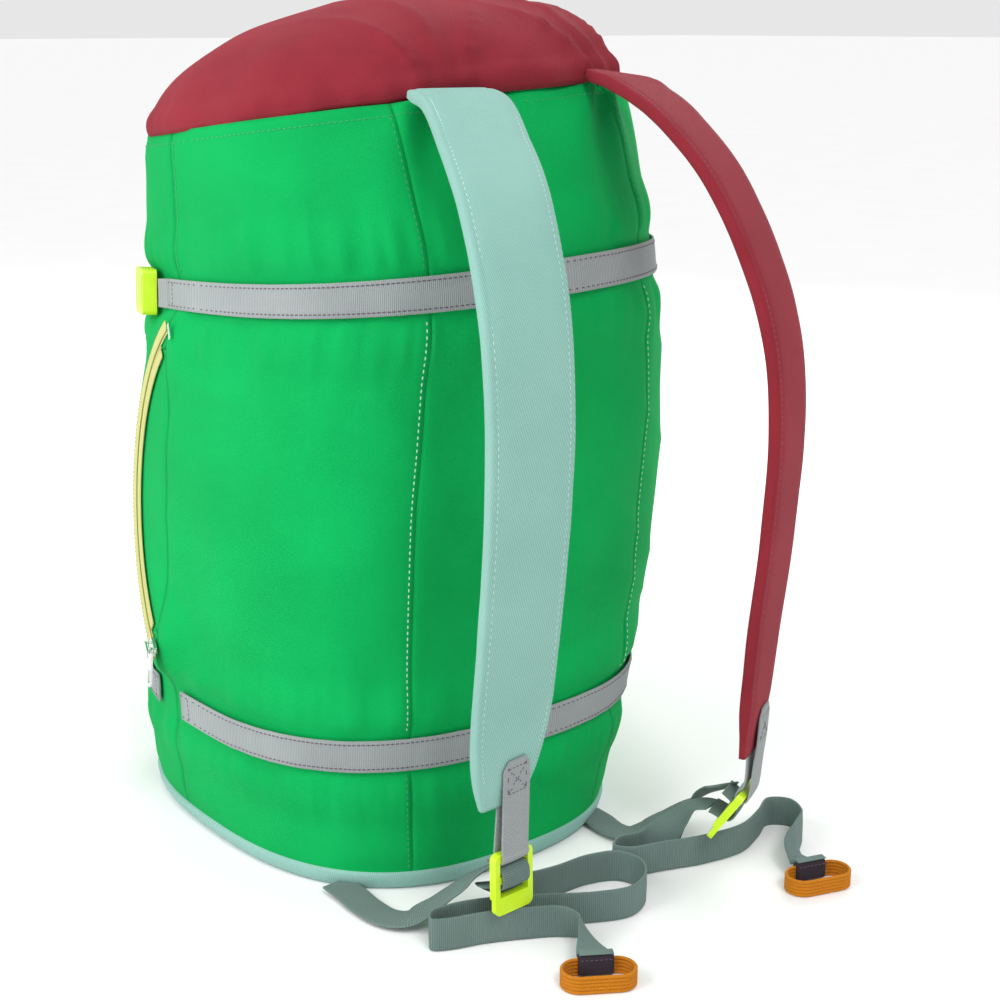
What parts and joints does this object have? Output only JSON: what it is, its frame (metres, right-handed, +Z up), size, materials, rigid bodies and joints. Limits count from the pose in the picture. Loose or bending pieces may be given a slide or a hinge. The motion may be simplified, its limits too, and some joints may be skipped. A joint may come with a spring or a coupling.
{
  "type": "rope storage bag",
  "caption": "Upright soft bag for stowing climbing rope, with a domed sewn lid, a curved side zip, compression bands, padded shoulder straps and webbing pulls.",
  "frame": {"origin": "middle of the flat base panel, on the surface that the bag stands on", "axes": "+Z up, -Y towards the shoulder straps, +X to the wearer's right as the straps are worn"},
  "size_m": [0.3529, 0.4806, 0.5377],
  "materials": {
    "green_fabric": "tightly woven nylon with a fine ribbed weave and a slight sheen",
    "maroon_fabric": "woven nylon, softly wrinkled",
    "mint_fabric": "fine twill weave with topstitched edges",
    "grey_webbing": "ribbed nylon webbing, 20 mm, with dark stitching near both edges",
    "slate_webbing": "flat woven nylon webbing, 20 mm",
    "neon_plastic": "moulded acetal, satin",
    "zip_tape": "woven polyester zip tape",
    "zip_nylon": "coiled nylon teeth",
    "zip_metal": "die cast, satin plated",
    "orange_webbing": "moulded band with fine ribs",
    "dark_binding": "woven binding, folded and stitched"
  },
  "bodies": {
    "bag": {"back_panel": "green_fabric", "left_side_panel": "green_fabric", "right_side_panel": "green_fabric", "front_panel": "green_fabric", "lid_panel": "maroon_fabric", "base_panel": "mint_fabric", "lower_band": "grey_webbing", "upper_band": "grey_webbing", "buckle_socket": "neon_plastic", "socket_tab": "grey_webbing", "front_strap": "grey_webbing", "front_zip_tape": "zip_tape", "front_zip_teeth": "zip_nylon", "zip_end_stop": "zip_tape", "left_lower_webbing": "slate_webbing", "right_lower_webbing": "slate_webbing", "left_tail": "slate_webbing", "right_tail": "slate_webbing"},
    "zip_flap": {"zip_flap": "green_fabric", "flap_zip_tape": "zip_tape", "flap_zip_teeth": "zip_nylon"},
    "zip_slider": {"zip_slider": "zip_metal"},
    "zip_pull": {"zip_pull": "zip_metal"},
    "buckle_plug": {"buckle_plug": "neon_plastic"},
    "left_strap": {"left_strap_pad": "mint_fabric", "left_strap_tab": "slate_webbing"},
    "left_lock": {"left_ladder_lock": "neon_plastic", "left_lock_wrap": "slate_webbing"},
    "left_pull": {"left_end_sleeve": "dark_binding", "left_pull_loop": "orange_webbing"},
    "right_strap": {"right_strap_pad": "maroon_fabric", "right_strap_tab": "slate_webbing"},
    "right_lock": {"right_ladder_lock": "neon_plastic", "right_lock_wrap": "slate_webbing"},
    "right_pull": {"right_end_sleeve": "dark_binding", "right_pull_loop": "orange_webbing"}
  },
  "joints": [
    {"name": "flap_opens", "type": "hinge", "parent": "bag", "child": "zip_flap", "pos_m": [-0.1392, 0.0283, 0.2297], "axis": [0.0852, -0.0186, 0.9962], "range_deg": [0, 75]},
    {"name": "slider_runs", "type": "hinge", "parent": "bag", "child": "zip_slider", "pos_m": [-0.15271, -0.03997, 0.22843], "axis": [0.9733, -0.2122, -0.0872], "range_deg": [0, 110]},
    {"name": "pull_swings", "type": "hinge", "parent": "zip_slider", "child": "zip_pull", "pos_m": [-0.15453, 0.02774, 0.12533], "axis": [-0.9733, 0.2122, 0.0872], "range_deg": [-75, 25]},
    {"name": "plug_slides", "type": "slide", "parent": "bag", "child": "buckle_plug", "axis": [0.3265, 0.9436, -0.056], "range_m": [0, 0.02], "deforming": ["front_strap"]},
    {"name": "left_strap_swings", "type": "hinge", "parent": "bag", "child": "left_strap", "pos_m": [-0.028, -0.131, 0.48], "axis": [-0.9903, 0.1392, 0], "range_deg": [-6, 10], "deforming": ["left_lower_webbing", "left_tail"]},
    {"name": "right_strap_swings", "type": "hinge", "parent": "bag", "child": "right_strap", "pos_m": [0.104, -0.129, 0.486], "axis": [-0.9063, -0.4226, 0], "range_deg": [-6, 10], "deforming": ["right_lower_webbing", "right_tail"]},
    {"name": "left_lock_tips", "type": "hinge", "parent": "left_strap", "child": "left_lock", "pos_m": [-0.06392, -0.23262, 0.05836], "axis": [0.9986, 0.0523, 0], "range_deg": [-50, 20], "deforming": ["left_lower_webbing", "left_tail"]},
    {"name": "right_lock_tips", "type": "hinge", "parent": "right_strap", "child": "right_lock", "pos_m": [0.10302, -0.26007, 0.05745], "axis": [0.891, 0.454, 0], "range_deg": [-60, 10], "deforming": ["right_lower_webbing", "right_tail"]},
    {"name": "left_pull_lifts", "type": "hinge", "parent": "bag", "child": "left_pull", "pos_m": [-0.0485, -0.289, 0.0117], "axis": [-0.848, 0.5299, 0], "range_deg": [0, 100], "deforming": ["left_tail"]},
    {"name": "right_pull_lifts", "type": "hinge", "parent": "bag", "child": "right_pull", "pos_m": [0.1304, -0.2888, 0.0117], "axis": [-0.9511, 0.309, 0], "range_deg": [0, 100], "deforming": ["right_tail"]}
  ]
}
